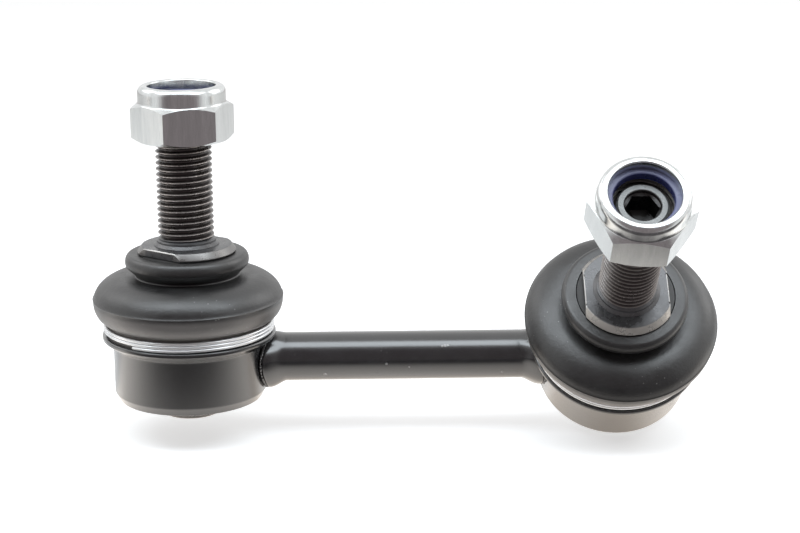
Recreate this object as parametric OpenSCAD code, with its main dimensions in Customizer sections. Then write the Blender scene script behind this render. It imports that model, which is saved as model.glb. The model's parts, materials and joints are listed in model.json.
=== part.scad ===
// Stabilizer link: a short rod with a ball joint at each end.
// The origin is the centre of the left stud's seat, +Z along that stud, +X along the rod.

/* [Link] */
// Distance between the two ball joints
link_length = 92; // [80:1:140]
// Diameter of the rod
rod_d = 10.5; // [8:0.5:12]
// Turn of the right ball joint about the rod, in degrees
right_twist = 42; // [0:1:90]
// How far the weld runs along the rod, past the shoulder's edge
weld_toe = 0.95; // [0.5:0.05:3]
// How far the weld stands proud of the rod
weld_height = 2.3; // [1:0.1:3]

/* [Housing] */
// Diameter of the housing's body
housing_d = 32.7; // [31:0.1:35]
// Depth of the housing's base below the rod's axis
housing_depth = 8.3; // [8:0.1:12]
// Rounding at the housing's base
base_round = 1.4; // [0.5:0.1:2]
// Diameter of the shoulder that carries the boot
shoulder_d = 37.2; // [36:0.1:40]
// Height of the shoulder's top above the rod's axis
shoulder_h = 6.2; // [6:0.1:8]
// Height of the straight band at the shoulder's edge
shoulder_band = 2.1; // [1:0.1:3.5]
// Height of the slope under the shoulder
shoulder_slope = 1.8; // [1:0.1:2.5]
// Height of the neck above the shoulder
neck_h = 2.2; // [1.5:0.1:3]
// Diameter of the neck that the boot grips
neck_d = 29.4; // [28:0.1:30]
// Diameter of the mouth that the stud comes out of
mouth_d = 18.8; // [18:0.1:21]
// Thickness of the lip rolled over the end cap
crimp_t = 0.8; // [0.5:0.1:1]

/* [Ball and seat] */
// Diameter of the ball
ball_d = 15; // [13.5:0.5:15]
// Height of the ball's centre above the rod's axis
ball_h = 2; // [2:0.1:3]
// Outside diameter of the plastic seat
seat_d = 22.8; // [21:0.1:23.5]
// Diameter of the seat's opening at its top
seat_mouth_d = 17.4; // [16:0.1:18]
// Diameter of the grease hole through the seat's floor
seat_hole_d = 5; // [3:0.5:6]

/* [End cap] */
// Diameter of the pressed cap
cap_d = 23.8; // [23:0.1:25]
// Thickness of the cap
cap_t = 1.2; // [0.8:0.1:1.2]
// Diameter of the boss in the cap's middle
cap_boss_d = 13.2; // [8:0.1:18]
// How far the boss stands out below the housing
cap_boss_h = 3.7; // [1:0.1:4]
// Bevel at the boss's edge
cap_boss_bevel = 0.8; // [0.3:0.1:1]

/* [Boot] */
// Diameter of the boot's bulge
boot_d = 40.6; // [38.5:0.1:44]
// Height of the bulge's widest place above the rod's axis
boot_wide_h = 13.3; // [12.5:0.1:14]
// Height of the bulge's top above its widest place
boot_dome_h = 5.4; // [4.5:0.1:6.5]
// Diameter of the circle along the bulge's top
boot_dome_d = 27; // [25:0.1:29]
// How far the wire's groove lies inside the shoulder's edge
boot_groove_in = 1.1; // [1:0.05:1.6]
// Wall of the boot
boot_wall = 2.1; // [1.2:0.1:2.4]
// Diameter of the boot's waist under its lip
boot_waist_d = 24.6; // [24:0.1:26]
// Diameter of the boot's top lip
boot_lip_d = 26.4; // [25:0.1:28]
// Height of the top lip
boot_lip_h = 3.4; // [2.5:0.1:3.6]
// Wall of the steel ring inside the lip
ring_wall = 1.95; // [1:0.05:2.2]
// How far the boot's throat reaches in under the steel ring
throat_in = 0.6; // [0.3:0.1:0.8]
// Rounding of the lip's edges
lip_round = 0.3; // [0.2:0.05:0.5]

/* [Clamp wire] */
// Diameter of the spring wire
wire_d = 0.72; // [0.5:0.01:0.75]
// Turns of the wire
wire_turns = 2.75; // [2:0.05:2.8]

/* [Stud] */
// Thread size of the stud
thread_d = 12; // [10:1:14]
// Pitch of the thread, which is drawn as rings
thread_pitch = 1.25; // [1:0.25:1.75]
// Depth of the thread
thread_depth = 0.7; // [0.4:0.05:0.9]
// Height of the smooth foot under the thread
thread_foot = 2.1; // [1:0.1:4]
// Length of the thread that shows between seat and nut
thread_shown = 22.1; // [15:0.1:25]
// Length of the stud's lead-in, inside the nut
lead_in = 7.8; // [5:0.1:12]
// How much smaller the lead-in's diameter is
lead_in_step = 0.4; // [0.35:0.01:0.6]
// Bevel at the stud's tip
tip_bevel = 1; // [0.5:0.1:1.5]
// Height of the seat above the rod's axis
seat_h = 25.4; // [24.5:0.1:30]
// Thickness of the stud's flange
flange_t = 1.6; // [1:0.1:2]
// Diameter of the flange's lower edge
flange_d = 21; // [19.5:0.1:23]
// Diameter of the flange's upper edge, the seat
flange_top_d = 19.1; // [18.5:0.1:20]
// Across the two wrench flats on the flange
flange_flats = 17.4; // [17:0.1:18]
// Diameter of the hub under the flange, which the boot grips
hub_d = 16; // [14:0.1:17]
// Height of the hub
hub_h = 5.8; // [4:0.1:6.5]
// Diameter of the neck above the ball
stud_neck_d = 9.6; // [8:0.1:10]
// Length of the taper from neck to hub
neck_taper = 5; // [3:0.1:6]
// Across the flats of the hex socket in the stud's end
socket_af = 6; // [5:0.5:6.5]
// Depth of the hex socket
socket_depth = 6; // [4:0.5:8]
// Diameter of the round lead-in of the socket
socket_round_d = 7.3; // [7.2:0.1:8]
// Depth of the round lead-in
socket_round_depth = 1; // [0.5:0.1:2]
// Turn of the left stud's wrench flats, in degrees
left_flats_turn = 53; // [0:1:180]
// Turn of the right stud's wrench flats, in degrees
right_flats_turn = 0; // [0:1:180]

/* [Nut] */
// Across the flats of the nut
nut_af = 19; // [18:0.5:22]
// Height of the nut's hex
nut_hex_h = 7.8; // [6:0.1:9]
// Height of the nut with its collar
nut_h = 11.6; // [11:0.1:14]
// Diameter of the nut's collar
collar_d = 17.9; // [17:0.1:18]
// Diameter of the opening in the collar's rolled lip
collar_hole_d = 15; // [14.4:0.1:15.4]
// Thickness of the rolled lip
collar_lip = 1.2; // [0.5:0.1:1.3]
// Wall of the collar beside the nylon ring
collar_wall = 0.8; // [0.6:0.1:0.9]
// Gap between the seat's thread and the nut's lower face
nut_gap = 0.5; // [0.3:0.1:2]
// Height of the nylon ring
insert_h = 2.6; // [2:0.1:2.8]
// Turn of the left nut, in degrees
left_nut_turn = 13.6; // [0:0.1:60]
// Turn of the right nut, in degrees
right_nut_turn = 53.6; // [0:0.1:60]

/* [Clearances] */
// Between the ball and its seat, on the radius
ball_clear = 0.08; // [0.02:0.01:0.15]
// Between the seat and the housing, on the radius
seat_clear = 0.1; // [0.02:0.01:0.2]
// Between the cap and the housing, on the radius
cap_clear = 0.1; // [0.02:0.01:0.2]
// Between the boot and what it grips
boot_clear = 0.2; // [0.1:0.01:0.3]
// Between the clamp wire and the boot, and between its strands
wire_clear = 0.04; // [0.02:0.01:0.06]
// Between the thread and the nut, on the radius
thread_clear = 0.1; // [0.05:0.01:0.15]
// Between the nylon ring and the nut
insert_clear = 0.06; // [0.03:0.01:0.1]
// Between rod, weld and housing
weld_clear = 0.02; // [0.01:0.01:0.05]

/* [Hidden] */
$fn = 96;

paint_black = [0.07, 0.07, 0.08];
rubber_grey = [0.16, 0.17, 0.18];
steel_grey = [0.36, 0.35, 0.34];
wire_silver = [0.80, 0.80, 0.82];
zinc_bright = [0.86, 0.88, 0.90];
nylon_blue = [0.16, 0.20, 0.62];
plastic_ivory = [0.90, 0.88, 0.80];

arc_steps = 10;
coil_steps = 40;
coil_sides = 8;
cut = 1;

ball_r = ball_d/2;
cavity_r = ball_r + ball_clear;
slope_top = shoulder_h - shoulder_band;
slope_base = slope_top - shoulder_slope;
neck_top = shoulder_h + neck_h;
bore_d = seat_d + 2*seat_clear;
bore_top = shoulder_h;
cap_base = -housing_depth + crimp_t;
cap_top = cap_base + cap_t;
cap_bore_d = cap_d + 2*cap_clear;
crimp_hole_d = bore_d - 2*crimp_t;
seat_base = cap_top + seat_clear;
seat_top = bore_top - seat_clear;

flange_base = seat_h - flange_t;
hub_base = flange_base - hub_h;
shank_top = seat_h + thread_shown;
stud_top = shank_top + lead_in;
nut_base = shank_top + nut_gap;

boot_base = shoulder_h + wire_clear;
boot_top = flange_base - boot_clear;
lip_base = boot_top - boot_lip_h;
collar_in_d = neck_d + 2*boot_clear;
ring_d = hub_d + 2*boot_clear + 2*ring_wall;
pocket_d = ring_d + 2*boot_clear;
throat_d = pocket_d - 2*throat_in;
boot_groove_d = shoulder_d - 2*boot_groove_in;

wire_pitch = wire_d + wire_clear;
wire_coil_r = (boot_groove_d/2 + wire_clear)/cos(180/coil_steps) + wire_d/2;
wire_start = boot_base + wire_d/2;
groove_top = boot_base + wire_turns*wire_pitch + wire_d;

insert_d = collar_d - 2*collar_wall - 2*insert_clear;
insert_base = nut_base + nut_h - collar_lip - insert_h - insert_clear;

// Points on an ellipse arc in the profile plane, from angle a0 to a1
function arc(centre, half, a0, a1, steps = arc_steps) = [
    for (i = [0:steps])
        let (a = a0 + (a1 - a0)*i/steps)
        [centre[0] + half[0]*cos(a), centre[1] + half[1]*sin(a)]
];

// One ring of points round a coil's wire at turn angle a
function coil_ring(a, coil_r, pitch, wire_r, sides) = [
    for (k = [0:sides - 1])
        let (b = 360*k/sides, r = coil_r + wire_r*cos(b))
        [r*cos(a), r*sin(a), pitch*a/360 + wire_r*sin(b)]
];

// A closed coil of round wire, standing on z = 0 at the middle of its first strand
module coil(coil_r, pitch, wire_r, turns, sides = coil_sides, per_turn = coil_steps) {
    steps = ceil(turns*per_turn);
    rings = [for (i = [0:steps]) coil_ring(360*turns*i/steps, coil_r, pitch, wire_r, sides)];
    points = [for (ring = rings) for (p = ring) p];
    walls = [
        for (i = [0:steps - 1]) for (k = [0:sides - 1])
            let (n = (k + 1)%sides)
            [i*sides + k, (i + 1)*sides + k, (i + 1)*sides + n, i*sides + n]
    ];
    first_end = [for (k = [0:sides - 1]) k];
    last_end = [for (k = [sides - 1:-1:0]) steps*sides + k];
    polyhedron(points, concat([first_end, last_end], walls));
}

// The two ends: each child is drawn about its stud's axis, with the rod's axis at z = 0
module at_left() {
    translate([0, 0, -seat_h]) children();
}

module at_right() {
    translate([link_length, 0, -seat_h]) rotate([right_twist, 0, 0]) children();
}

// Outside of a housing, from the axis out, grown by a clearance
module housing_outside(grow = 0) {
    body_r = housing_d/2 + grow;
    edge_r = shoulder_d/2 + grow;
    base = -housing_depth - grow;
    rotate_extrude() polygon(concat(
        [[0, base]],
        arc([body_r - base_round, base + base_round], [base_round, base_round], -90, 0),
        [[body_r, slope_base], [edge_r, slope_top], [edge_r, shoulder_h + grow]],
        [[0, shoulder_h + grow]]
    ));
}

module housing() {
    difference() {
        union() {
            housing_outside();
            cylinder(d = neck_d, h = neck_top);
        }
        translate([0, 0, cap_base]) cylinder(d = cap_bore_d, h = cap_t + seat_clear);
        translate([0, 0, -housing_depth - cut]) cylinder(d = crimp_hole_d, h = crimp_t + 2*cut);
        translate([0, 0, cap_base]) cylinder(d = bore_d, h = bore_top - cap_base);
        translate([0, 0, bore_top - cut]) cylinder(d = mouth_d, h = neck_h + 2*cut);
    }
}

module ball_seat() {
    flare = (seat_mouth_d - stud_neck_d)/2/(seat_top - ball_h);
    difference() {
        translate([0, 0, seat_base]) cylinder(d = seat_d, h = seat_top - seat_base);
        translate([0, 0, ball_h]) sphere(r = cavity_r);
        translate([0, 0, ball_h])
            cylinder(d1 = stud_neck_d, d2 = seat_mouth_d + 2*flare*cut, h = seat_top - ball_h + cut);
        translate([0, 0, seat_base - cut]) cylinder(d = seat_hole_d, h = ball_r);
    }
}

module end_cap() {
    boss_d = min(cap_boss_d, crimp_hole_d - 2*cap_clear);
    translate([0, 0, cap_base + cap_clear]) cylinder(d = cap_d, h = cap_t - cap_clear);
    translate([0, 0, -housing_depth - cap_boss_h]) {
        cylinder(d1 = boss_d - 2*cap_boss_bevel, d2 = boss_d, h = cap_boss_bevel);
        translate([0, 0, cap_boss_bevel])
            cylinder(d = boss_d, h = cap_boss_h - cap_boss_bevel + crimp_t + cap_t/2);
    }
}

module dust_boot() {
    wide_r = boot_d/2;
    dome_r = boot_dome_d/2;
    foot_r = boot_groove_d/2;
    waist_r = boot_waist_d/2;
    lip_r = boot_lip_d/2;
    lip_half = boot_lip_h/2;
    under_half = [wide_r - foot_r + boot_wall/4, boot_wide_h - groove_top];
    dome_half = [wide_r - dome_r, boot_dome_h];
    rotate_extrude() polygon(concat(
        [[collar_in_d/2, boot_base], [foot_r, boot_base]],
        [[foot_r, groove_top]],
        arc([wide_r - under_half[0], boot_wide_h], under_half, -70, 0),
        arc([dome_r, boot_wide_h], dome_half, 9, 90),
        [[waist_r, lip_base - lip_round], [waist_r, lip_base + lip_round]],
        arc([lip_r - lip_half/2, lip_base + lip_half], [lip_half/2, lip_half - lip_round], -60, 60),
        [[waist_r, boot_top], [pocket_d/2, boot_top], [pocket_d/2, lip_base]],
        [[throat_d/2, lip_base], [throat_d/2, boot_wide_h + boot_dome_h - boot_wall/2]],
        arc([dome_r, boot_wide_h], dome_half - [boot_wall, boot_wall], 90, 0),
        arc([wide_r - under_half[0], boot_wide_h], under_half - [boot_wall, boot_wall], -9, -50),
        [[collar_in_d/2, groove_top + boot_wall/2]]
    ));
}

module clamp_wire() {
    translate([0, 0, wire_start]) coil(wire_coil_r, wire_pitch, wire_d/2, wire_turns);
}

module neck_ring() {
    ring_base = lip_base + boot_clear;
    translate([0, 0, ring_base]) difference() {
        cylinder(d = ring_d, h = boot_top - ring_base);
        translate([0, 0, -cut]) cylinder(d = hub_d + 2*boot_clear, h = boot_lip_h + 2*cut);
    }
}

module ball_stud() {
    tip_r = (thread_d - lead_in_step)/2;
    difference() {
        union() {
            translate([0, 0, ball_h]) sphere(r = ball_r);
            rotate_extrude() polygon([
                [0, ball_h], [stud_neck_d/2, ball_h],
                [stud_neck_d/2, hub_base - neck_taper], [hub_d/2, hub_base],
                [hub_d/2, flange_base], [0, flange_base]
            ]);
            translate([0, 0, flange_base]) flange();
            threaded_shank();
            translate([0, 0, flange_base]) cylinder(r = tip_r, h = stud_top - tip_bevel - flange_base);
            translate([0, 0, stud_top - tip_bevel]) cylinder(r1 = tip_r, r2 = tip_r - tip_bevel, h = tip_bevel);
        }
        translate([0, 0, stud_top - socket_depth]) cylinder(d = socket_af/cos(30), h = socket_depth + cut, $fn = 6);
        translate([0, 0, stud_top - socket_round_depth]) cylinder(d = socket_round_d, h = socket_round_depth + cut);
    }
}

// Shank with V-shaped rings at the thread's pitch, above a smooth foot
module threaded_shank() {
    crest_r = thread_d/2;
    root_r = crest_r - thread_depth;
    first = seat_h + thread_foot;
    rings = floor((shank_top - first)/thread_pitch);
    rotate_extrude() polygon(concat(
        [[0, flange_base], [crest_r, flange_base]],
        [for (i = [0:rings - 1]) let (z = first + i*thread_pitch) each [
            [crest_r, z], [root_r, z + thread_pitch*3/8],
            [root_r, z + thread_pitch/2], [crest_r, z + thread_pitch*7/8]
        ]],
        [[crest_r, shank_top], [0, shank_top]]
    ));
}

// Bevelled flange with two wrench flats, facing +X and -X
module flange() {
    intersection() {
        cylinder(d1 = flange_d, d2 = flange_top_d, h = flange_t);
        translate([-flange_flats/2, -flange_d/2, -cut]) cube([flange_flats, flange_d, flange_t + 2*cut]);
    }
}

// Hex with both ends bevelled, a collar, and a rolled lip over the nylon ring
module lock_nut() {
    corner_d = nut_af/cos(30);
    bevel_h = (corner_d - nut_af)/2*tan(30);
    difference() {
        union() {
            intersection() {
                cylinder(d = corner_d, h = nut_hex_h, $fn = 6);
                rotate_extrude() polygon([
                    [0, 0], [nut_af/2, 0], [corner_d/2, bevel_h],
                    [corner_d/2, nut_hex_h - bevel_h], [nut_af/2, nut_hex_h], [0, nut_hex_h]
                ]);
            }
            rotate_extrude() polygon(concat(
                [[0, 0], [collar_d/2, 0]],
                arc([collar_d/2 - collar_lip, nut_h - collar_lip], [collar_lip, collar_lip], 0, 90),
                [[0, nut_h]]
            ));
        }
        translate([0, 0, -cut]) cylinder(d = thread_d + 2*thread_clear, h = nut_h + 2*cut);
        translate([0, 0, nut_h - collar_lip - insert_h - 2*insert_clear])
            cylinder(d = collar_d - 2*collar_wall, h = insert_h + 2*insert_clear);
        translate([0, 0, nut_h - collar_lip - cut]) cylinder(d = collar_hole_d, h = collar_lip + 2*cut);
    }
}

module nut_insert() {
    translate([0, 0, insert_base]) difference() {
        cylinder(d = insert_d, h = insert_h);
        translate([0, 0, -cut]) cylinder(d = thread_d + thread_clear, h = insert_h + 2*cut);
    }
}

// Everything that the rod and its welds stay clear of at one end
module joint_keep_out() {
    housing_outside(weld_clear);
    translate([0, 0, shoulder_h]) cylinder(d = boot_d + 2*boot_clear, h = seat_h - shoulder_h);
}

module link_rod() {
    color(paint_black) difference() {
        translate([0, 0, -seat_h]) rotate([0, 90, 0]) cylinder(d = rod_d, h = link_length);
        at_left() joint_keep_out();
        at_right() joint_keep_out();
    }
}

// Weld round the rod's end, drawn at the left end and pointing along +X
module weld_bead() {
    root_x = housing_d/2 - weld_height;
    toe_x = shoulder_d/2 + weld_toe;
    difference() {
        rotate([0, 90, 0]) translate([0, 0, root_x])
            cylinder(d1 = rod_d + 2*weld_height, d2 = rod_d + 2*weld_clear, h = toe_x - root_x);
        rotate([0, 90, 0]) cylinder(d = rod_d + 2*weld_clear, h = toe_x + cut);
        joint_keep_out();
    }
}

module left_weld_bead() { color(paint_black) at_left() weld_bead(); }
module right_weld_bead() { color(paint_black) at_right() rotate([0, 0, 180]) weld_bead(); }
module left_housing() { color(paint_black) at_left() housing(); }
module right_housing() { color(paint_black) at_right() housing(); }
module left_ball_seat() { color(plastic_ivory) at_left() ball_seat(); }
module right_ball_seat() { color(plastic_ivory) at_right() ball_seat(); }
module left_end_cap() { color(paint_black) at_left() end_cap(); }
module right_end_cap() { color(paint_black) at_right() end_cap(); }
module left_dust_boot() { color(rubber_grey) at_left() dust_boot(); }
module right_dust_boot() { color(rubber_grey) at_right() dust_boot(); }
module left_clamp_wire() { color(wire_silver) at_left() clamp_wire(); }
module right_clamp_wire() { color(wire_silver) at_right() clamp_wire(); }
module left_neck_ring() { color(steel_grey) at_left() neck_ring(); }
module right_neck_ring() { color(steel_grey) at_right() neck_ring(); }
module left_ball_stud() { color(steel_grey) at_left() rotate([0, 0, left_flats_turn]) ball_stud(); }
module right_ball_stud() { color(steel_grey) at_right() rotate([0, 0, right_flats_turn]) ball_stud(); }
module left_lock_nut() {
    color(zinc_bright) at_left() translate([0, 0, nut_base]) rotate([0, 0, left_nut_turn]) lock_nut();
}
module right_lock_nut() {
    color(zinc_bright) at_right() translate([0, 0, nut_base]) rotate([0, 0, right_nut_turn]) lock_nut();
}
module left_nut_insert() { color(nylon_blue) at_left() nut_insert(); }
module right_nut_insert() { color(nylon_blue) at_right() nut_insert(); }

link_rod();
left_weld_bead();
right_weld_bead();
left_housing();
right_housing();
left_ball_seat();
right_ball_seat();
left_end_cap();
right_end_cap();
left_dust_boot();
right_dust_boot();
left_clamp_wire();
right_clamp_wire();
left_neck_ring();
right_neck_ring();
left_ball_stud();
right_ball_stud();
left_lock_nut();
right_lock_nut();
left_nut_insert();
right_nut_insert();
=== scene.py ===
# Stabilizer link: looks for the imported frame
import json
from math import atan2, cos, hypot, pi, radians, sin, sqrt, tan

import bmesh
import bpy
from mathutils import Euler, Matrix, Vector


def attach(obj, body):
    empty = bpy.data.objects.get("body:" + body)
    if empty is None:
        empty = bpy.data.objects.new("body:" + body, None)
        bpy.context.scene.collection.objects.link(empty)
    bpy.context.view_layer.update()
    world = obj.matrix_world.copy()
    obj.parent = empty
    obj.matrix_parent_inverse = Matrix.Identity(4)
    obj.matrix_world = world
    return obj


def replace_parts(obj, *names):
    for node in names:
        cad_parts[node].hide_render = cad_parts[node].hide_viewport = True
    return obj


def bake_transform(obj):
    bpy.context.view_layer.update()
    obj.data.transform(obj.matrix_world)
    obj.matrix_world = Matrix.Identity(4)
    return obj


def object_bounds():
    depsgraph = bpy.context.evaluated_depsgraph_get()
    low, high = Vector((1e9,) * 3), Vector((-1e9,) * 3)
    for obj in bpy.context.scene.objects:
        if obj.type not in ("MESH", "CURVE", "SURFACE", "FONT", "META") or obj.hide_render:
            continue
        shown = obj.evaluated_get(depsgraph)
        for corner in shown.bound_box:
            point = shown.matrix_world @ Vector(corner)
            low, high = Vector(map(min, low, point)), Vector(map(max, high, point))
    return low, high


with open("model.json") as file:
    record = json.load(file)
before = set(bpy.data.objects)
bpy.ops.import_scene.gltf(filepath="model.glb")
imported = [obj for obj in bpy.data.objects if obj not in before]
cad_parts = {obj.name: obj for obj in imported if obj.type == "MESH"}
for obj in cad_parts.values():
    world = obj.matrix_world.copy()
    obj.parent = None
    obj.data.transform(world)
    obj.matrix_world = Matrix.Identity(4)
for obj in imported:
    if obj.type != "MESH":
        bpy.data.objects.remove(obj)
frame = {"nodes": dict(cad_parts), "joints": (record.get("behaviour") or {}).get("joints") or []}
cadLow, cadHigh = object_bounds()
mm = 0.001  # pieces are drawn in millimetres about their own stud, then placed
print("frame loaded:", len(frame["nodes"]), "nodes")

link = dict(ballHeight=2.0, names=("left", "right"), flatsTurn=dict(left=53.0, right=0.0))


def hingeNamed(name):
    return next(j for j in frame["joints"] if j["name"] == name)


def sideFrame(side):
    hinge = hingeNamed(side + "_lean_direction")
    up = Vector(hinge["axis"]).normalized()
    foot = Vector(hinge["pos_m"]) - up * link["ballHeight"] * mm
    twist = atan2(-up.y, up.z)
    place = Matrix.Translation(foot) @ Matrix.Rotation(twist, 4, "X") @ Matrix.Scale(mm, 4)
    return dict(up=up, foot=foot, twist=twist, place=place)


sides = {side: sideFrame(side) for side in link["names"]}
linkLength = (sides["right"]["foot"] - sides["left"]["foot"]).length / mm


# Drawing helpers

def arc(centre, half, start, end, count=8):
    angles = [radians(start + (end - start) * i / count) for i in range(count + 1)]
    return [(centre[0] + half[0] * cos(a), centre[1] + half[1] * sin(a)) for a in angles]


def spinProfile(bm, profile, steps=128, closed=True):
    verts = [bm.verts.new((r, 0, z)) for r, z in profile]
    edges = [bm.edges.new(pair) for pair in zip(verts, verts[1:])]
    if closed:
        edges.append(bm.edges.new((verts[-1], verts[0])))
    bmesh.ops.spin(bm, geom=verts + edges, cent=(0, 0, 0), axis=(0, 0, 1), angle=2 * pi, steps=steps,
                   use_merge=True)


def sweepCoil(bm, loop, pitch, turns, stepsPerTurn, startAngle=0.0):
    turn = Matrix.Rotation(startAngle, 3, "Z")
    verts = [bm.verts.new(turn @ Vector((r, 0, z))) for r, z in loop]
    edges = [bm.edges.new((verts[i - 1], verts[i])) for i in range(len(verts))]
    steps = round(turns * stepsPerTurn)
    bmesh.ops.spin(bm, geom=verts + edges, cent=(0, 0, 0), axis=(0, 0, 1), angle=2 * pi * turns,
                   steps=steps, dvec=(0, 0, pitch * turns / steps), use_merge=False)
    bmesh.ops.holes_fill(bm, edges=[e for e in bm.edges if e.is_boundary], sides=0)


def shapeRing(verts, radius, z):
    for v in verts:
        angle = atan2(v.co.y, v.co.x)
        r = radius(angle) if callable(radius) else radius
        v.co = (r * cos(angle), r * sin(angle), z(angle) if callable(z) else z)


def stackRings(bm, shape, count):
    # a wall drawn from ring to ring; radius and height may depend on the angle
    verts = bmesh.ops.create_circle(bm, cap_ends=False, segments=count, radius=1.0)["verts"]
    edges = list({e for v in verts for e in v.link_edges})
    shapeRing(verts, *shape[0])
    for radius, z in shape[1:]:
        grown = bmesh.ops.extrude_edge_only(bm, edges=edges)["geom"]
        verts = [g for g in grown if isinstance(g, bmesh.types.BMVert)]
        edges = [g for g in grown if isinstance(g, bmesh.types.BMEdge) and all(v in verts for v in g.verts)]
        shapeRing(verts, radius, z)
    return edges


def hexRadius(angle, acrossFlats):
    return acrossFlats / 2 / cos(angle % (pi / 3) - pi / 6)


def makePiece(bm, name, place, material, sharpAngle=32):
    bmesh.ops.remove_doubles(bm, verts=bm.verts, dist=0.002)
    bmesh.ops.recalc_face_normals(bm, faces=bm.faces)
    bmesh.ops.transform(bm, matrix=place, verts=bm.verts)
    mesh = bpy.data.meshes.new(name)
    bm.to_mesh(mesh)
    bm.free()
    mesh.polygons.foreach_set("use_smooth", [True] * len(mesh.polygons))
    mesh.set_sharp_from_angle(angle=radians(sharpAngle))
    mesh.materials.append(material)
    piece = bpy.data.objects.new(name, mesh)
    bpy.context.scene.collection.objects.link(piece)
    return piece


# Shader groups shared by the finishes

def newGroup(name, inputs, outputs):
    group = bpy.data.node_groups.new(name, "ShaderNodeTree")
    for socketName, kind, value in inputs:
        socket = group.interface.new_socket(name=socketName, in_out="INPUT", socket_type=kind)
        if value is not None:
            socket.default_value = value
    for socketName, kind in outputs:
        group.interface.new_socket(name=socketName, in_out="OUTPUT", socket_type=kind)
    return group, group.nodes.new("NodeGroupInput"), group.nodes.new("NodeGroupOutput")


def addNode(tree, kind, **settings):
    node = tree.nodes.new(kind)
    for key, value in settings.items():
        if key in node.inputs:
            node.inputs[key].default_value = value
        else:
            setattr(node, key, value)
    return node


def addMath(tree, operation, first, second=None, clamp=False):
    node = tree.nodes.new("ShaderNodeMath")
    node.operation = operation
    node.use_clamp = clamp
    for index, value in enumerate((first, second)):
        if value is None:
            continue
        if isinstance(value, (int, float)):
            node.inputs[index].default_value = value
        else:
            tree.links.new(value, node.inputs[index])
    return node.outputs[0]


def addRange(tree, value, low, high, outLow=0.0, outHigh=1.0):
    node = tree.nodes.new("ShaderNodeMapRange")
    node.interpolation_type = "SMOOTHSTEP"
    tree.links.new(value, node.inputs["Value"])
    for key, number in (("From Min", low), ("From Max", high), ("To Min", outLow), ("To Max", outHigh)):
        node.inputs[key].default_value = number
    return node.outputs["Result"]


def addMix(tree, factor, first, second):
    node = tree.nodes.new("ShaderNodeMix")
    node.data_type = "RGBA"
    for key, value in (("Factor", factor), ("A", first), ("B", second)):
        socket = next(s for s in node.inputs if s.name == key and s.type in ("RGBA", "VALUE") and s.enabled)
        if isinstance(value, (int, float, tuple, list)):
            socket.default_value = value
        else:
            tree.links.new(value, socket)
    return next(s for s in node.outputs if s.type == "RGBA")


def mottleGroup():
    # two sizes of cloudy variation, a roughness drift and a fine height for bump
    group, source, sink = newGroup("mottle", [
        ("Vector", "NodeSocketVector", None), ("Scale", "NodeSocketFloat", 400.0),
        ("Dark", "NodeSocketColor", (0.02, 0.02, 0.02, 1)), ("Light", "NodeSocketColor", (0.04, 0.04, 0.04, 1)),
        ("Rough Low", "NodeSocketFloat", 0.3), ("Rough High", "NodeSocketFloat", 0.5)],
        [("Color", "NodeSocketColor"), ("Rough", "NodeSocketFloat"), ("Height", "NodeSocketFloat")])
    broad = addNode(group, "ShaderNodeTexNoise", Detail=4.0, Roughness=0.6)
    fine = addNode(group, "ShaderNodeTexNoise", Detail=6.0, Roughness=0.65)
    group.links.new(source.outputs["Vector"], broad.inputs["Vector"])
    group.links.new(source.outputs["Vector"], fine.inputs["Vector"])
    group.links.new(source.outputs["Scale"], broad.inputs["Scale"])
    group.links.new(addMath(group, "MULTIPLY", source.outputs["Scale"], 7.0), fine.inputs["Scale"])
    cloud = addRange(group, broad.outputs["Fac"], 0.32, 0.68)
    grain = addRange(group, fine.outputs["Fac"], 0.3, 0.7)
    both = addMath(group, "ADD", addMath(group, "MULTIPLY", cloud, 0.65),
                   addMath(group, "MULTIPLY", grain, 0.35))
    group.links.new(addMix(group, both, source.outputs["Dark"], source.outputs["Light"]), sink.inputs["Color"])
    spread = addMath(group, "SUBTRACT", source.outputs["Rough High"], source.outputs["Rough Low"])
    rough = addMath(group, "ADD", source.outputs["Rough Low"], addMath(group, "MULTIPLY", spread, cloud))
    group.links.new(rough, sink.inputs["Rough"])
    group.links.new(grain, sink.inputs["Height"])
    return group


def dustGroup():
    # small pale specks, thicker in patches
    group, source, sink = newGroup("dust", [
        ("Vector", "NodeSocketVector", None), ("Scale", "NodeSocketFloat", 900.0),
        ("Size", "NodeSocketFloat", 0.12), ("Patch Scale", "NodeSocketFloat", 120.0)],
        [("Mask", "NodeSocketFloat")])
    specks = addNode(group, "ShaderNodeTexVoronoi", Randomness=1.0)
    patches = addNode(group, "ShaderNodeTexNoise", Detail=2.0)
    for texture, scale in ((specks, "Scale"), (patches, "Patch Scale")):
        group.links.new(source.outputs["Vector"], texture.inputs["Vector"])
        group.links.new(source.outputs[scale], texture.inputs["Scale"])
    spot = addMath(group, "LESS_THAN", specks.outputs["Distance"], source.outputs["Size"])
    patch = addRange(group, patches.outputs["Fac"], 0.44, 0.62)
    group.links.new(addMath(group, "MULTIPLY", spot, patch), sink.inputs["Mask"])
    return group


def axisGroup():
    # distance from the stud's axis and height along it, in millimetres
    group, source, sink = newGroup("axisPlace", [("Vector", "NodeSocketVector", None)],
                                   [("Radius", "NodeSocketFloat"), ("Height", "NodeSocketFloat")])
    parts = group.nodes.new("ShaderNodeSeparateXYZ")
    group.links.new(source.outputs["Vector"], parts.inputs["Vector"])
    square = [addMath(group, "MULTIPLY", parts.outputs[i], parts.outputs[i]) for i in (0, 1)]
    radius = addMath(group, "SQRT", addMath(group, "ADD", *square))
    group.links.new(addMath(group, "MULTIPLY", radius, 1 / mm), sink.inputs["Radius"])
    group.links.new(addMath(group, "MULTIPLY", parts.outputs[2], 1 / mm), sink.inputs["Height"])
    return group


groups = dict(mottle=mottleGroup(), dust=dustGroup(), axisPlace=axisGroup())
print("shader groups:", sorted(groups))


# Finishes

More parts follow.
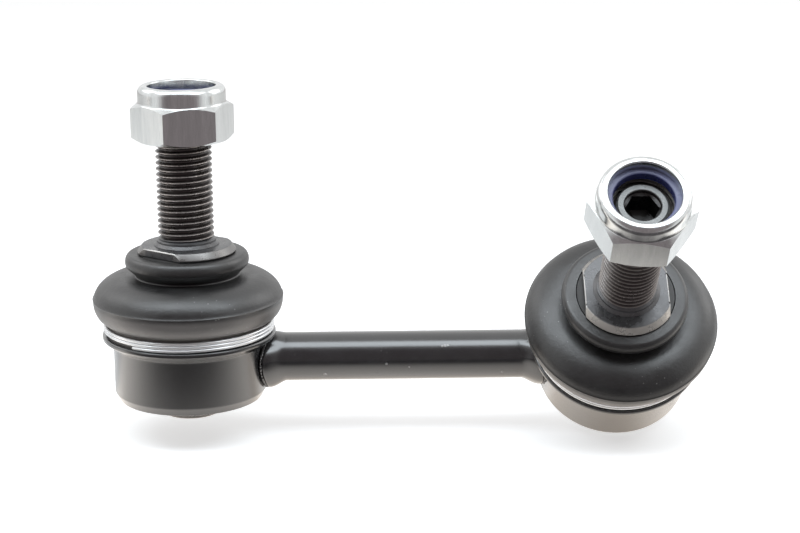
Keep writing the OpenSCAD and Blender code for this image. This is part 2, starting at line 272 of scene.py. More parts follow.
def startMaterial(name, metallic=0.0):
    material = bpy.data.materials.new(name)
    material.use_nodes = True
    tree = material.node_tree
    shader = tree.nodes["Principled BSDF"]
    shader.inputs["Metallic"].default_value = metallic
    coords = tree.nodes.new("ShaderNodeTexCoord").outputs["Object"]
    return material, tree, shader, coords


def placeGroup(tree, key, vector, **values):
    node = tree.nodes.new("ShaderNodeGroup")
    node.node_tree = groups[key]
    tree.links.new(vector, node.inputs["Vector"])
    for name, value in values.items():
        node.inputs[name].default_value = value
    return node.outputs


def studCoords(tree, coords, side):
    # the frame of one ball joint, so that a pattern follows its stud
    node = tree.nodes.new("ShaderNodeMapping")
    node.vector_type = "TEXTURE"
    node.inputs["Location"].default_value = sides[side]["foot"]
    node.inputs["Rotation"].default_value = (sides[side]["twist"], 0, 0)
    tree.links.new(coords, node.inputs["Vector"])
    return node.outputs["Vector"]


def addBump(tree, shader, height, strength, distance):
    node = addNode(tree, "ShaderNodeBump", Strength=strength, Distance=distance)
    tree.links.new(height, node.inputs["Height"])
    tree.links.new(node.outputs["Normal"], shader.inputs["Normal"])


paintLook = dict(dark=(0.008, 0.008, 0.009, 1), light=(0.015, 0.015, 0.016, 1), chip=(0.26, 0.25, 0.24, 1),
                 dust=(0.11, 0.105, 0.10, 1), nicks=(
                     (54.4, -4.2, 3.15, 0.34), (55.0, -4.15, 3.21, 0.4), (55.6, -4.1, 3.28, 0.34),
                     (29.2, -4.47, -2.76, 0.5), (42.4, -5.23, -0.43, 0.32), (47.3, -5.11, -1.2, 0.25),
                     (67.3, -4.5, -2.7, 0.3)))


def paintMaterial():
    material, tree, shader, coords = startMaterial("satinBlackPaint")
    cloud = placeGroup(tree, "mottle", coords, Scale=260.0, Dark=paintLook["dark"], Light=paintLook["light"],
                       **{"Rough Low": 0.20, "Rough High": 0.24})
    dust = placeGroup(tree, "dust", coords, Scale=620.0, Size=0.10, **{"Patch Scale": 90.0})
    colour = addMix(tree, addMath(tree, "MULTIPLY", dust["Mask"], 0.45), cloud["Color"], paintLook["dust"])
    rodHeight = sides["left"]["foot"].z
    for x, y, z, size in paintLook["nicks"]:
        away = addNode(tree, "ShaderNodeVectorMath", operation="DISTANCE")
        tree.links.new(coords, away.inputs[0])
        away.inputs[1].default_value = (x * mm, y * mm, z * mm + rodHeight)
        spot = addRange(tree, away.outputs["Value"], size * mm, size * mm * 0.55)
        colour = addMix(tree, spot, colour, paintLook["chip"])
    tree.links.new(colour, shader.inputs["Base Color"])
    tree.links.new(cloud["Rough"], shader.inputs["Roughness"])
    shader.inputs["Specular IOR Level"].default_value = 0.9
    shader.inputs["Coat Weight"].default_value = 0.8
    shader.inputs["Coat Roughness"].default_value = 0.2
    addBump(tree, shader, cloud["Height"], 0.04, 0.00004)
    return material


# under: the boot below the mould's parting line is painted lighter than the rubber: painted light bounced up
# from the floor
rubberLook = dict(dark=(0.0095, 0.009, 0.009, 1), light=(0.019, 0.0185, 0.0185, 1), dust=(0.34, 0.33, 0.32, 1),
                  under=(0.21, 0.19, 0.176, 1), partingHeight=14.0)


def rubberMaterial(side):
    material, tree, shader, coords = startMaterial("bootRubber_" + side)
    local = studCoords(tree, coords, side)
    axis = placeGroup(tree, "axisPlace", local)
    cloud = placeGroup(tree, "mottle", local, Scale=180.0, Dark=rubberLook["dark"], Light=rubberLook["light"],
                       **{"Rough Low": 0.34, "Rough High": 0.43})
    dust = placeGroup(tree, "dust", local, Scale=800.0, Size=0.105, **{"Patch Scale": 70.0})
    # below the parting line the rubber is painted lighter: painted floor light on the underside
    lower = addRange(tree, axis["Height"], rubberLook["partingHeight"], rubberLook["partingHeight"] - 1.5)
    colour = addMix(tree, addMath(tree, "MULTIPLY", lower, 0.75), cloud["Color"], rubberLook["under"])
    colour = addMix(tree, addMath(tree, "MULTIPLY", dust["Mask"], 0.5), colour, rubberLook["dust"])
    tree.links.new(colour, shader.inputs["Base Color"])
    tree.links.new(cloud["Rough"], shader.inputs["Roughness"])
    shader.inputs["Specular IOR Level"].default_value = 0.9
    addBump(tree, shader, cloud["Height"], 0.22, 0.00008)
    return material


# root and crest: the thread's dark brown and its light crest lines, which are partly rubbed wear and partly a
# painted highlight
studLook = dict(root=(0.050, 0.040, 0.037, 1), crest=(0.46, 0.415, 0.39, 1), plain=(0.12, 0.12, 0.124, 1),
                # bevel: painted reflection of the floor on the flange's sloped rim; edge: light lines along the
                # wrench flats, partly rubbed wear and partly a painted highlight
                bevel=(0.62, 0.58, 0.53, 1), edge=(0.62, 0.61, 0.59, 1), threadFoot=27.2, seat=25.4,
                flangeFoot=23.8, tip=(0.15, 0.152, 0.15, 1), tipFoot=54.7,
                # per stud strengths: the painted reflection on the flange rim is strong on the right and faint
                # on the left; the crest lines, partly a painted highlight, are brighter on the left
                bevelReflectionShare=dict(left=0.17, right=0.9), crestWearAndSheenShare=dict(left=1.0, right=0.6),
                # socket: near-black inside the hex socket, painted shade in the recess
                socket=(0.012, 0.011, 0.011, 1), crestBand=(5.72, 5.95), bevelBand=(9.35, 9.7),
                flatBand=(8.46, 8.6), tipBand=(3.6, 3.75), socketBand=(3.64, 3.56))


def studMaterial(side):
    material, tree, shader, coords = startMaterial("phosphatedSteel_" + side, metallic=0.5)
    local = studCoords(tree, coords, side)
    axis = placeGroup(tree, "axisPlace", local)
    cloud = placeGroup(tree, "mottle", local, Scale=420.0, Dark=(0.08, 0.078, 0.08, 1),
                       Light=studLook["plain"], **{"Rough Low": 0.24, "Rough High": 0.40})
    # thread: light crest lines over dark brown, partly rubbed wear and partly a painted highlight, brighter on
    # the left stud
    crest = addRange(tree, axis["Radius"], *studLook["crestBand"])
    patchyCrest = addRange(tree, cloud["Height"], 0.1, 0.7, 0.55, studLook["crestWearAndSheenShare"][side])
    crestWearAndSheen = addMath(tree, "MULTIPLY", crest, patchyCrest)
    threadColour = addMix(tree, crestWearAndSheen, studLook["root"], studLook["crest"])
    onThread = addRange(tree, axis["Height"], studLook["threadFoot"] - 0.2, studLook["threadFoot"] + 0.2)
    colour = addMix(tree, onThread, cloud["Color"], threadColour)
    # the flange's sloped rim is painted light beige: a painted reflection of the floor, strong on the right stud
    # and faint on the left
    bevelReflection = addMath(tree, "MULTIPLY", addRange(tree, axis["Radius"], *studLook["bevelBand"]),
                      addRange(tree, axis["Height"], studLook["seat"] + 0.05, studLook["seat"] - 0.1))
    bevelReflection = addMath(tree, "MULTIPLY", bevelReflection, addRange(tree, axis["Height"], studLook["flangeFoot"] - 0.1,
                                                          studLook["flangeFoot"] + 0.1))
    bevelReflection = addMath(tree, "MULTIPLY", bevelReflection, studLook["bevelReflectionShare"][side])
    colour = addMix(tree, bevelReflection, colour, studLook["bevel"])
    turned = addNode(tree, "ShaderNodeVectorRotate", rotation_type="Z_AXIS",
                     Angle=-radians(link["flatsTurn"][side]))
    tree.links.new(local, turned.inputs["Vector"])
    parts = tree.nodes.new("ShaderNodeSeparateXYZ")
    tree.links.new(turned.outputs["Vector"], parts.inputs["Vector"])
    across = addMath(tree, "ABSOLUTE", parts.outputs["X"])
    flatEdgeWearAndSheen = addMath(tree, "MULTIPLY", addRange(tree, across, *[r * mm for r in studLook["flatBand"]]),
                     addRange(tree, axis["Height"], studLook["seat"] - 0.3, studLook["seat"] - 0.2))
    colour = addMix(tree, flatEdgeWearAndSheen, colour, studLook["edge"])  # light lines along the wrench flats' edges: partly rubbed wear, partly a painted highlight
    tipFoot = studLook["tipFoot"]
    onTip = addMath(tree, "MULTIPLY", addRange(tree, axis["Height"], tipFoot, tipFoot + 0.3),
                    addRange(tree, axis["Radius"], *studLook["tipBand"]))
    colour = addMix(tree, onTip, colour, studLook["tip"])
    # inside the hex socket the steel is painted near-black: painted shade in the recess
    socketShade = addMath(tree, "MULTIPLY", addRange(tree, axis["Radius"], *studLook["socketBand"]),
                       addRange(tree, axis["Height"], tipFoot - 7.0, tipFoot - 6.5))
    colour = addMix(tree, socketShade, colour, studLook["socket"])
    tree.links.new(colour, shader.inputs["Base Color"])
    tree.links.new(cloud["Rough"], shader.inputs["Roughness"])
    shader.inputs["Specular IOR Level"].default_value = 1.0
    addBump(tree, shader, cloud["Height"], 0.15, 0.00005)
    return material


zincLook = dict(dark=(0.60, 0.62, 0.62, 1), light=(0.76, 0.78, 0.78, 1), stretch=(1.0, 1.0, 0.12))


def zincMaterial(side):
    # drawn streaks along the nut's axis
    material, tree, shader, coords = startMaterial("brightZinc_" + side, metallic=1.0)
    streak = addNode(tree, "ShaderNodeVectorMath", operation="MULTIPLY")
    tree.links.new(studCoords(tree, coords, side), streak.inputs[0])
    streak.inputs[1].default_value = zincLook["stretch"]
    cloud = placeGroup(tree, "mottle", streak.outputs["Vector"], Scale=420.0, Dark=zincLook["dark"],
                       Light=zincLook["light"], **{"Rough Low": 0.16, "Rough High": 0.26})
    tree.links.new(cloud["Color"], shader.inputs["Base Color"])
    tree.links.new(cloud["Rough"], shader.inputs["Roughness"])
    addBump(tree, shader, cloud["Height"], 0.05, 0.00003)
    return material


def wireMaterial():
    material, tree, shader, coords = startMaterial("drawnWire", metallic=0.7)
    cloud = placeGroup(tree, "mottle", coords, Scale=160.0, Dark=(0.82, 0.83, 0.84, 1),
                       Light=(0.90, 0.90, 0.91, 1), **{"Rough Low": 0.22, "Rough High": 0.26})
    tree.links.new(cloud["Color"], shader.inputs["Base Color"])
    tree.links.new(cloud["Rough"], shader.inputs["Roughness"])
    return material


def plasticMaterial(name, dark, light, roughLow, roughHigh):
    material, tree, shader, coords = startMaterial(name)
    cloud = placeGroup(tree, "mottle", coords, Scale=300.0, Dark=dark, Light=light,
                       **{"Rough Low": roughLow, "Rough High": roughHigh})
    tree.links.new(cloud["Color"], shader.inputs["Base Color"])
    tree.links.new(cloud["Rough"], shader.inputs["Roughness"])
    addBump(tree, shader, cloud["Height"], 0.10, 0.00004)
    return material


# the pale colour for the nylon's top face is a painted reflection of the bright surroundings
nylonLook = dict(dark=(0.020, 0.025, 0.12, 1), light=(0.038, 0.046, 0.18, 1), topReflection=(0.17, 0.18, 0.31, 1),
                 topReflectionFoot=57.2)


def nylonMaterial(side):
    # blue, with the top face painted pale: a painted reflection of the bright surroundings
    material, tree, shader, coords = startMaterial("blueNylon_" + side)
    local = studCoords(tree, coords, side)
    axis = placeGroup(tree, "axisPlace", local)
    cloud = placeGroup(tree, "mottle", local, Scale=300.0, Dark=nylonLook["dark"], Light=nylonLook["light"],
                       **{"Rough Low": 0.26, "Rough High": 0.38})
    nylonTopReflection = addRange(tree, axis["Height"], nylonLook["topReflectionFoot"], nylonLook["topReflectionFoot"] + 0.25)
    tree.links.new(addMix(tree, nylonTopReflection, cloud["Color"], nylonLook["topReflection"]), shader.inputs["Base Color"])
    tree.links.new(cloud["Rough"], shader.inputs["Roughness"])
    addBump(tree, shader, cloud["Height"], 0.10, 0.00004)
    return material


# the near-black inner finish is painted shade for the neck ring seen in the gap under the flange
finishes = dict(paint=paintMaterial(), wire=wireMaterial(),
                innerRingShade=plasticMaterial("innerRingShade", (0.030, 0.029, 0.028, 1), (0.050, 0.048, 0.046, 1),
                                           0.4, 0.55),
                cup=plasticMaterial("ivoryPlastic", (0.62, 0.58, 0.48, 1), (0.76, 0.72, 0.62, 1),
                                    0.35, 0.5))
for side in link["names"]:
    finishes["rubber_" + side] = rubberMaterial(side)
    finishes["stud_" + side] = studMaterial(side)
    finishes["zinc_" + side] = zincMaterial(side)
    finishes["nylon_" + side] = nylonMaterial(side)
print("finishes:", len(finishes))


# Rod and its welds

rod = dict(radius=5.25, endInHousing=2.2, rings=24)


def makeRod(housingRadius):
    start = housingRadius - rod["endInHousing"]
    end = linkLength - start
    stations = [(rod["radius"], start + (end - start) * i / rod["rings"]) for i in range(rod["rings"] + 1)]
    bm = bmesh.new()
    spinProfile(bm, [(0, start)] + stations + [(0, end)], steps=96, closed=False)
    place = Matrix.Translation(sides["left"]["foot"]) @ Matrix.Rotation(pi / 2, 4, "Y") @ Matrix.Scale(mm, 4)
    piece = makePiece(bm, "linkRod", place, finishes["paint"])
    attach(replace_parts(piece, "link_rod"), "link")


weld = dict(height=1.45, length=4.6, inHousing=1.6, seam=1.0, seamDepth=0.9, ripples=9, ripple=0.08, power=1.5,
            overlap=0.6, seamRound=0.3, bead=(0.5, 0.34), beadSink=0.55, beadMid=0.42, lumps=(19, 33), lump=0.22,
            topThin=0.75, topEdge=(0.1, 0.7))


def makeWeld(side, housingRadius):
    # a fillet round the rod's end that follows the housing's curve, lumpy at the seam and thin on top
    face = 1 if side == "left" else -1
    twist = sides[side]["twist"]
    inner = rod["radius"] - weld["overlap"]
    root = housingRadius - weld["inHousing"]
    outer = rod["radius"] + weld["height"]
    edge = housingRadius + weld["seam"]
    floor = outer - weld["seamDepth"]
    bead = arc((outer - weld["beadSink"], housingRadius + weld["beadMid"]), weld["bead"], -90, 90, 8)
    seamEdge = arc((floor, edge), (weld["seamDepth"], weld["seamRound"]), -90, 0, 6)
    run = weld["length"] - weld["seam"]
    taper = [(rod["radius"] + weld["height"] * cos(pi / 2 * t) ** weld["power"], edge + run * t)
             for t in (i / 12 for i in range(1, 13))]
    bm = bmesh.new()
    spinProfile(bm, [(inner, root), (floor, root), (floor, housingRadius)] + bead + seamEdge + taper
                + [(inner, housingRadius + weld["length"])], steps=240)
    bmesh.ops.remove_doubles(bm, verts=bm.verts, dist=0.002)
    slow, quick = weld["lumps"]
    topStart, topEnd = weld["topEdge"]
    for v in bm.verts:
        r = hypot(v.co.x, v.co.y)
        angle = atan2(v.co.y, v.co.x)
        proud = max(0.0, (r - rod["radius"]) / weld["height"])
        upward = face * sin(angle) * sin(twist) - cos(angle) * cos(twist)
        thin = weld["topThin"] * min(1.0, max(0.0, (upward - topStart) / (topEnd - topStart)))
        onBead = housingRadius < v.co.z < housingRadius + 2 * weld["beadMid"]
        lump = weld["lump"] * sin(slow * angle) * sin(quick * angle + 1) if onBead else 0
        ripple = weld["ripple"] * sin(weld["ripples"] * angle) * (1.4 - proud)
        grown = r + (ripple - thin * weld["height"]) * proud + lump
        v.co = (grown * cos(angle), grown * sin(angle), v.co.z + lump / 3)
        sag = housingRadius - sqrt(housingRadius ** 2 - min(v.co.y ** 2, housingRadius ** 2))
        v.co.z -= sag
    turn = Matrix.Rotation(0 if face == 1 else pi, 4, "Z") @ Matrix.Rotation(pi / 2, 4, "Y")
    piece = makePiece(bm, side + "WeldBead", sides[side]["place"] @ turn, finishes["paint"], 60)
    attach(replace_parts(piece, side + "_weld_bead"), "link")


# Housing and its end cap

housing = dict(radius=16.35, depth=8.3, slopeFoot=3.6, slopeTop=5.15, shoulder=18.6,
               shoulderTop=6.2, edge=0.35, neck=14.7, neckTop=8.4, mouth=9.4, bore=11.5, crimpHole=10.7,
               crimp=0.8, base=((1.25, 0.0), (0.95, 0.12), (0.8, 0.4), (0.2, 1.55), (0.05, 1.75), (0.0, 2.0)))


def makeHousing(side):
    h = housing
    base = [(h["radius"] - inset, rise - h["depth"]) for inset, rise in h["base"]]
    lowEdge = arc((h["shoulder"] - h["edge"], h["slopeTop"] + h["edge"]), [h["edge"]] * 2, -40, 0, 4)
    topEdge = arc((h["shoulder"] - h["edge"], h["shoulderTop"] - h["edge"]), [h["edge"]] * 2, 0, 90, 4)
    crimpEdge = arc((h["crimpHole"] + 0.3, 0.3 - h["depth"]), (0.3, 0.3), 180, 270, 4)
    profile = base + [(h["radius"], h["slopeFoot"] - 0.25), (h["radius"] + 0.12, h["slopeFoot"] + 0.1)]
    profile += lowEdge + topEdge + [(h["neck"], h["shoulderTop"]), (h["neck"], h["neckTop"] - 0.3),
                                    (h["neck"] - 0.3, h["neckTop"]), (h["mouth"], h["neckTop"]),
                                    (h["mouth"], h["shoulderTop"]), (h["bore"], h["shoulderTop"]),
                                    (h["bore"], h["crimp"] - h["depth"]),
                                    (h["crimpHole"], h["crimp"] - h["depth"])]
    bm = bmesh.new()
    spinProfile(bm, profile + crimpEdge)
    piece = makePiece(bm, side + "Housing", sides[side]["place"], finishes["paint"])
    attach(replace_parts(piece, side + "_housing"), "link")


endCap = dict(radius=10.55, top=-6.4, floor=-8.0, bossRadius=6.6, bossDepth=12.0, bossRound=0.8)


def makeEndCap(side):
    c = endCap
    nose = arc((c["bossRadius"] - c["bossRound"], c["bossRound"] - c["bossDepth"]), [c["bossRound"]] * 2,
               -90, 0)
    plate = [(c["bossRadius"], c["floor"] - 0.4), (c["bossRadius"] + 0.4, c["floor"]), (c["radius"], c["floor"]),
             (c["radius"], c["top"]), (0, c["top"])]
    bm = bmesh.new()
    spinProfile(bm, [(0, -c["bossDepth"])] + nose + plate, closed=False)
    piece = makePiece(bm, side + "EndCap", sides[side]["place"], finishes["paint"])
    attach(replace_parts(piece, side + "_end_cap"), "link")


makeRod(housing["radius"])
for side in link["names"]:
    makeWeld(side, housing["radius"])
    makeHousing(side)
    makeEndCap(side)
print("rod, welds, housings and caps placed")


# Boots and their clamp wires

boot = dict(foot=6.24, innerFoot=14.9, groove=17.5, grooveTop=9.0, wide=20.3, wideHeight=13.3, domeHeight=5.4,
            dome=13.5, wall=2.1, waist=11.1, lip=13.2, lipBase=20.2, top=23.6, pocket=10.35, throat=9.75,
            parting=14.0, bead=0.10, beadHalf=0.16)


def makeBoot(side):
    b = boot
    under = (b["wide"] - b["groove"] + b["wall"] / 4, b["wideHeight"] - b["grooveTop"])
    domeHalf = (b["wide"] - b["dome"], b["domeHeight"])
    lipHalf = (b["top"] - b["lipBase"]) / 2
    lower = arc((b["wide"] - under[0], b["wideHeight"]), under, -72, 0, 14)
    bead = [(b["wide"], b["parting"] - b["beadHalf"]), (b["wide"] + b["bead"], b["parting"]),
            (b["wide"] - 0.03, b["parting"] + b["beadHalf"])]
    dome = arc((b["dome"], b["wideHeight"]), domeHalf, 12, 88, 18)
    waist = arc((b["waist"] + 0.3, b["lipBase"] - 1.2), (0.3, 0.3), 265, 130, 8)
    lip = arc((b["lip"] - 1.15, b["lipBase"] + lipHalf), (1.15, lipHalf), -32, 90, 12)
    inner = [(b["pocket"], b["top"]), (b["pocket"], b["lipBase"]), (b["throat"], b["lipBase"]),
             (b["throat"], b["wideHeight"] + b["domeHeight"] - b["wall"] / 2)]
    innerDome = arc((b["dome"], b["wideHeight"]), (domeHalf[0] - b["wall"], domeHalf[1] - b["wall"]), 90, 0, 10)
    innerUnder = arc((b["wide"] - under[0], b["wideHeight"]), (under[0] - b["wall"], under[1] - b["wall"]),
                     -9, -50, 5)
    profile = [(b["innerFoot"], b["foot"]), (b["groove"], b["foot"]), (b["groove"], b["grooveTop"] - 0.2)]
    profile += lower + bead + dome + waist + lip + inner + innerDome + innerUnder
    profile += [(b["innerFoot"], b["grooveTop"] + b["wall"] / 2)]
    bm = bmesh.new()
    spinProfile(bm, profile, steps=144)
    piece = makePiece(bm, side + "DustBoot", sides[side]["place"], finishes["rubber_" + side],
                      38)
    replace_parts(piece, side + "_dust_boot")
    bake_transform(piece)


wire = dict(radius=0.376, coil=17.9, pitch=0.76, start=6.6, turns=2.75, sides=16, perTurn=180,
            cutAngle=dict(left=-126.0, right=60.0))


def makeWire(side):
    loop = arc((wire["coil"], wire["start"]), [wire["radius"]] * 2, 0, 360 - 360 / wire["sides"],
               wire["sides"] - 1)
    bm = bmesh.new()
    sweepCoil(bm, loop, wire["pitch"], wire["turns"], wire["perTurn"], radians(wire["cutAngle"][side]))
    piece = makePiece(bm, side + "ClampWire", sides[side]["place"], finishes["wire"], 50)
    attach(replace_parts(piece, side + "_clamp_wire"), "link")


for side in link["names"]:
    makeBoot(side)
    makeWire(side)
print("boots and clamp wires placed")


# Studs, with a rolled thread and a hex socket

stud = dict(ball=7.5, neck=4.8, neckTop=13.0, hubFoot=18.0, hub=8.0, flangeFoot=23.8, flange=10.5, seat=25.4,
            seatRadius=9.55, flats=17.4, collar=6.3, collarFoot=6.95, collarTop=27.0, core=5.23, top=55.3,
            tipBevel=0.4, socketRound=3.65, socketRoundDepth=1.0, socketFlats=6.0, socketDepth=6.0, segments=96)
thread = dict(pitch=1.25, root=5.1, crest=5.97, rootWidth=0.875, crestWidth=0.14, start=26.4,
              perTurn=72, fade=0.6)


def cutFlats(bm, half):
    # two wrench flats on the flange, facing +X and -X
    for face in (1, -1):
        flangeOnly = [f for f in bm.faces if f.calc_center_median().z > stud["flangeFoot"] - 0.3]
        geom = list({v for f in flangeOnly for v in f.verts} | {e for f in flangeOnly for e in f.edges})
        bmesh.ops.bisect_plane(bm, geom=geom + flangeOnly, plane_co=(face * half, 0, 0), plane_no=(face, 0, 0),
                               clear_outer=True)
        bmesh.ops.holes_fill(bm, edges=[e for e in bm.edges if e.is_boundary], sides=0)
        rim = [e for e in bm.edges
               if all(abs(v.co.x - face * half) < 0.01 and v.co.z > stud["seat"] - 0.01 for v in e.verts)]
        bmesh.ops.bevel(bm, geom=rim, offset=0.18, segments=1, affect="EDGES")


def makeFlange():
    s = stud
    bm = bmesh.new()
    edge = [(s["flange"], s["flangeFoot"] + 0.25), (s["flange"] - 0.06, s["flangeFoot"] + 0.4)]
    top = [(s["seatRadius"] + 0.05, s["seat"] - 0.08), (s["seatRadius"] - 0.15, s["seat"]),
           (s["seatRadius"] - 0.5, s["seat"]), (0, s["seat"])]
    spinProfile(bm, [(0, s["flangeFoot"]), (s["flange"] - 0.15, s["flangeFoot"])] + edge + top, closed=False)
    bmesh.ops.remove_doubles(bm, verts=bm.verts, dist=0.002)
    cutFlats(bm, s["flats"] / 2)
    return bm


def makeThread():
    # one ridge swept up the core, dying away at both ends
    t = thread
    half, tip = t["rootWidth"] / 2 * t["pitch"], t["crestWidth"] / 2 * t["pitch"]
    loop = [(t["root"], t["start"] - half), (t["crest"] - 0.04, t["start"] - tip), (t["crest"], t["start"]),
            (t["crest"] - 0.04, t["start"] + tip), (t["root"], t["start"] + half)]
    turns = (stud["top"] - stud["tipBevel"] - half - t["start"]) / t["pitch"]
    coil = bmesh.new()
    sweepCoil(coil, loop, t["pitch"], turns, t["perTurn"])
    low, high = t["start"], t["start"] + turns * t["pitch"]
    fade = t["fade"] * t["pitch"]
    for v in coil.verts:
        r = hypot(v.co.x, v.co.y)
        share = min(1.0, (v.co.z - low + half) / fade, (high + half - v.co.z) / fade)
        kept = (t["root"] + (r - t["root"]) * max(0.15, share)) / r
        v.co.x, v.co.y = v.co.x * kept, v.co.y * kept
    return coil


def makeStud(side):
    s = stud
    ballTop = link["ballHeight"] + sqrt(s["ball"] ** 2 - s["neck"] ** 2)
    lean = atan2(sqrt(s["ball"] ** 2 - s["neck"] ** 2), s["neck"]) * 180 / pi
    ball = arc((0, link["ballHeight"]), [s["ball"]] * 2, -90, lean, 28)
    bm = bmesh.new()
    shank = [(s["neck"], ballTop + 0.3), (s["neck"], s["neckTop"]), (s["hub"], s["hubFoot"]),
             (s["hub"], s["flangeFoot"] + 0.2)]
    collar = [(s["collarFoot"], s["seat"] - 0.4), (s["collarFoot"], s["seat"] + 0.12),
              (s["collar"], s["seat"] + 0.7), (s["collar"], s["collarTop"] - 0.5),
              (s["core"] + 0.2, s["collarTop"]), (s["core"], s["collarTop"] + 0.2)]
    spinProfile(bm, [(0, link["ballHeight"] - s["ball"])] + ball[1:] + shank + collar, steps=s["segments"],
                closed=False)
    for part in (makeFlange(), makeThread()):
        mesh = bpy.data.meshes.new("part")
        bmesh.ops.recalc_face_normals(part, faces=part.faces)
        part.to_mesh(mesh)
        part.free()
        bm.from_mesh(mesh)
        bpy.data.meshes.remove(mesh)
    hexWall = lambda angle: hexRadius(angle, s["socketFlats"])
    floor = s["top"] - s["socketDepth"]
    floorEdge = stackRings(bm, [
        (s["core"], s["collarTop"] + 0.2), (s["core"], s["top"] - s["tipBevel"]),
        (s["core"] - s["tipBevel"], s["top"]), (s["socketRound"] + 0.15, s["top"]),
        (s["socketRound"], s["top"] - 0.15), (s["socketRound"], s["top"] - s["socketRoundDepth"]),
        (hexWall, s["top"] - s["socketRoundDepth"] - 0.25), (hexWall, floor), (0.4, floor - 0.6)], s["segments"])
    bmesh.ops.holes_fill(bm, edges=floorEdge, sides=0)
    turn = Matrix.Rotation(radians(link["flatsTurn"][side]), 4, "Z")
    piece = makePiece(bm, side + "BallStud", sides[side]["place"] @ turn, finishes["stud_" + side],
                      20)
    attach(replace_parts(piece, side + "_ball_stud"), side + "_stud")


# Lock nuts and their nylon rings

nut = dict(foot=48.0, flats=19.0, hexHeight=7.8, height=11.6, washer=9.46, bevel=30.0, collar=9.25,
           lipRound=(1.2, 1.6), lipHole=7.2, lipThick=2.0, pocket=8.15, bore=6.15, pocketDepth=3.92, segments=96,
           turn=dict(left=13.6, right=53.6))
nylon = dict(outer=8.08, hole=6.03, height=1.8, top=9.5, roundTop=0.4)


def makeNut(side):
    n = nut
    slope = tan(radians(n["bevel"]))
    hexWall = lambda angle: hexRadius(angle, n["flats"])
    rise = lambda angle: (hexWall(angle) - n["washer"]) * slope
    bm = bmesh.new()
    lip = arc((n["collar"] - n["lipRound"][0], n["height"] - n["lipRound"][1]), n["lipRound"], 0, 90, 10)
    inLip = arc((n["lipHole"] + 0.35, n["height"] - 0.35), (0.35, 0.35), 90, 180, 4)
    lipFoot, pocketFoot = n["height"] - n["lipThick"], n["height"] - n["pocketDepth"]
    circles = lip + inLip + [(n["lipHole"], lipFoot), (n["pocket"], lipFoot), (n["pocket"], pocketFoot),
                             (n["bore"], pocketFoot), (n["bore"], 0.55), (n["bore"] + 0.5, 0.0)]
    wall = [(n["washer"], 0.0), (hexWall, rise), (hexWall, lambda angle: n["hexHeight"] - rise(angle)),
            (n["washer"], n["hexHeight"]), (n["collar"] + 0.12, n["hexHeight"] + 0.12),
            (n["collar"] + 0.03, n["hexHeight"] + 0.3), (n["collar"], n["hexHeight"] + 0.55)]
    stackRings(bm, wall + circles + wall[:1], n["segments"])
    turn = Matrix.Rotation(radians(n["turn"][side]), 4, "Z")
    place = sides[side]["place"] @ Matrix.Translation((0, 0, n["foot"])) @ turn
    piece = makePiece(bm, side + "LockNut", place, finishes["zinc_" + side], 24)
    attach(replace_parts(piece, side + "_lock_nut"), side + "_nut")


def makeNylon(side):
    n = nylon
    inner = arc((n["hole"] + n["roundTop"], n["top"] - n["roundTop"]), [n["roundTop"]] * 2, 90, 180, 5)
    bm = bmesh.new()
    spinProfile(bm, [(n["outer"], n["top"] - n["height"]), (n["outer"], n["top"])] + inner
                + [(n["hole"], n["top"] - n["height"])], steps=96)
    place = sides[side]["place"] @ Matrix.Translation((0, 0, nut["foot"]))
    piece = makePiece(bm, side + "NutInsert", place, finishes["nylon_" + side])
    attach(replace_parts(piece, side + "_nut_insert"), side + "_insert")


for side in link["names"]:
    makeStud(side)
    makeNut(side)
    makeNylon(side)
print("studs, nuts and nylon rings placed")

# The inner pieces keep their solids and get their own finish
for side in link["names"]:
    # the neck rings get the near-black finish: painted shade in the gap between flange and boot
    for name, finish in (("_ball_seat", "cup"), ("_neck_ring", "innerRingShade")):
        node = frame["nodes"][side + name]
        node.data.materials.clear()
        node.data.materials.append(finishes[finish])


# Stage, light and camera

stage = dict(halfWidth=1.6, front=-0.10, glowEdge=(-0.05, -0.005), back=2.6, floorColour=(0.86, 0.86, 0.86, 1),
             floorDark=(0.07, 0.06, 0.06, 1), warm=(1.0, 0.88, 0.76, 1), glow=0.55,
             mirrorGlow=(0.9, 0.15), mirrorEdge=(0.01, 0.03), gap=0.0005, worldDiffuse=0.42,
             frontColour=(0.24, 0.21, 0.215, 1), frontEdge=(-0.42, -0.78))


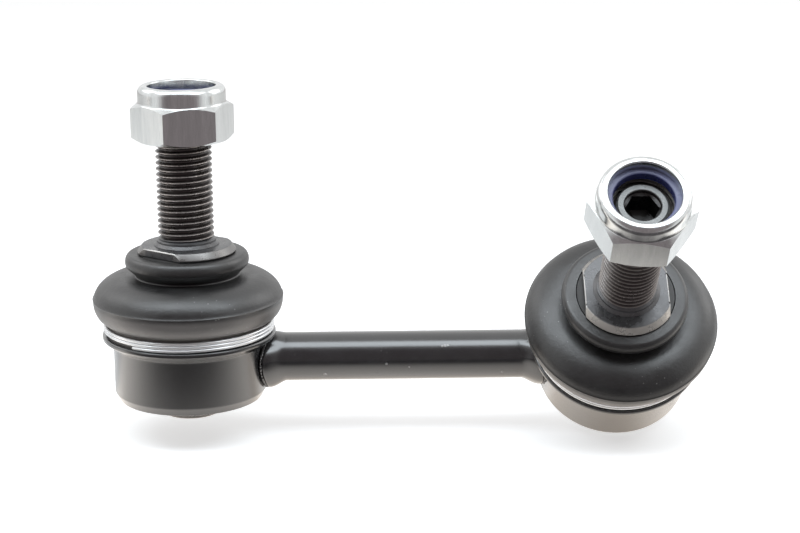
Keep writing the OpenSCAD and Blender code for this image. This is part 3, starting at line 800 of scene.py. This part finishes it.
def makeFloor():
    bm = bmesh.new()
    bmesh.ops.create_grid(bm, x_segments=1, y_segments=1, size=1.0)
    depth = (stage["back"] - stage["front"]) / 2
    bmesh.ops.scale(bm, verts=bm.verts, vec=(stage["halfWidth"], depth, 1))
    bmesh.ops.translate(bm, verts=bm.verts, vec=(0, stage["front"] + depth, cadLow.z - stage["gap"]))
    mesh = bpy.data.meshes.new("floor")
    bm.to_mesh(mesh)
    bm.free()
    material = bpy.data.materials.new("paleFloor")
    material.use_nodes = True
    tree = material.node_tree
    shader = tree.nodes["Principled BSDF"]
    shader.inputs["Roughness"].default_value = 0.9
    path = tree.nodes.new("ShaderNodeLightPath")
    glossy = path.outputs["Is Glossy Ray"]
    parts = tree.nodes.new("ShaderNodeSeparateXYZ")
    tree.links.new(tree.nodes.new("ShaderNodeTexCoord").outputs["Object"], parts.inputs["Vector"])
    lit = addRange(tree, parts.outputs["Y"], *stage["glowEdge"])  # its reflection darkens towards the camera
    under = addRange(tree, parts.outputs["Y"], *stage["mirrorEdge"], *stage["mirrorGlow"])
    unlit = addMath(tree, "MULTIPLY", glossy, addMath(tree, "SUBTRACT", 1.0, lit))
    tree.links.new(addMix(tree, unlit, stage["floorColour"], stage["floorDark"]), shader.inputs["Base Color"])
    tree.links.new(addMix(tree, glossy, (1, 1, 1, 1), stage["warm"]), shader.inputs["Emission Color"])
    seen = addMath(tree, "MULTIPLY", path.outputs["Is Camera Ray"], stage["glow"])
    mirrored = addMath(tree, "MULTIPLY", addMath(tree, "MULTIPLY", glossy, lit), under)
    tree.links.new(addMath(tree, "ADD", seen, mirrored), shader.inputs["Emission Strength"])
    mesh.materials.append(material)
    floor = bpy.data.objects.new("floor", mesh)
    bpy.context.scene.collection.objects.link(floor)


def makeWorld():
    world = bpy.data.worlds.new("studio")
    world.use_nodes = True
    tree = world.node_tree
    sky = tree.nodes["Background"]
    path = tree.nodes.new("ShaderNodeLightPath")
    seen = addMath(tree, "MAXIMUM", path.outputs["Is Camera Ray"],
                   addMath(tree, "MAXIMUM", path.outputs["Is Glossy Ray"], path.outputs["Is Transmission Ray"]))
    parts = tree.nodes.new("ShaderNodeSeparateXYZ")
    tree.links.new(tree.nodes.new("ShaderNodeTexCoord").outputs["Generated"], parts.inputs["Vector"])
    unseen = addMath(tree, "SUBTRACT", 1.0, path.outputs["Is Camera Ray"])
    front = addMath(tree, "MULTIPLY", unseen, addRange(tree, parts.outputs["Y"], *stage["frontEdge"]))
    tree.links.new(addMix(tree, front, (1, 1, 1, 1), stage["frontColour"]), sky.inputs["Color"])
    extra = addMath(tree, "MULTIPLY", seen, 1 - stage["worldDiffuse"])
    strength = addMath(tree, "ADD", stage["worldDiffuse"], extra)
    tree.links.new(strength, sky.inputs["Strength"])
    bpy.context.scene.world = world


lamps = dict(
    key=dict(place=(0.03, -0.17, 0.48), size=(1.0, 0.24), power=2.9, colour=(0.86, 0.94, 1.0)),
    left=dict(place=(-0.50, 0.25, 0.45), size=(0.40, 0.40), power=0.6, colour=(1, 1, 1)),
    right=dict(place=(0.62, 0.25, 0.35), size=(0.40, 0.40), power=0.8, colour=(1, 1, 1)))


def makeLamps(target):
    for name, lamp in lamps.items():
        light = bpy.data.lights.new(name, "AREA")
        light.energy = lamp["power"]
        light.color = lamp["colour"]
        light.shape = "RECTANGLE"
        light.size, light.size_y = lamp["size"]
        holder = bpy.data.objects.new(name, light)
        holder.location = lamp["place"]
        holder.rotation_mode = "QUATERNION"
        holder.rotation_quaternion = (Vector(target) - Vector(lamp["place"])).to_track_quat("-Z", "Y")
        bpy.context.scene.collection.objects.link(holder)


camera = dict(place=(0.03787, -0.40344, 0.09847), turn=(75.535, 0.339, -1.173), focalPixels=1942.2,
              frameWidth=800, sensor=36.0)


def makeCamera():
    data = bpy.data.cameras.new("camera")
    data.sensor_width = camera["sensor"]
    data.lens = camera["focalPixels"] / camera["frameWidth"] * camera["sensor"]
    data.clip_start = 0.01
    holder = bpy.data.objects.new("camera", data)
    holder.location = camera["place"]
    holder.rotation_euler = Euler([radians(a) for a in camera["turn"]], "XYZ")
    bpy.context.scene.collection.objects.link(holder)
    bpy.context.scene.camera = holder


makeFloor()
makeWorld()
makeLamps((linkLength / 2 * mm, 0, 0))
makeCamera()
bpy.context.scene.view_settings.view_transform = "Standard"
print("stage, lamps and camera set")
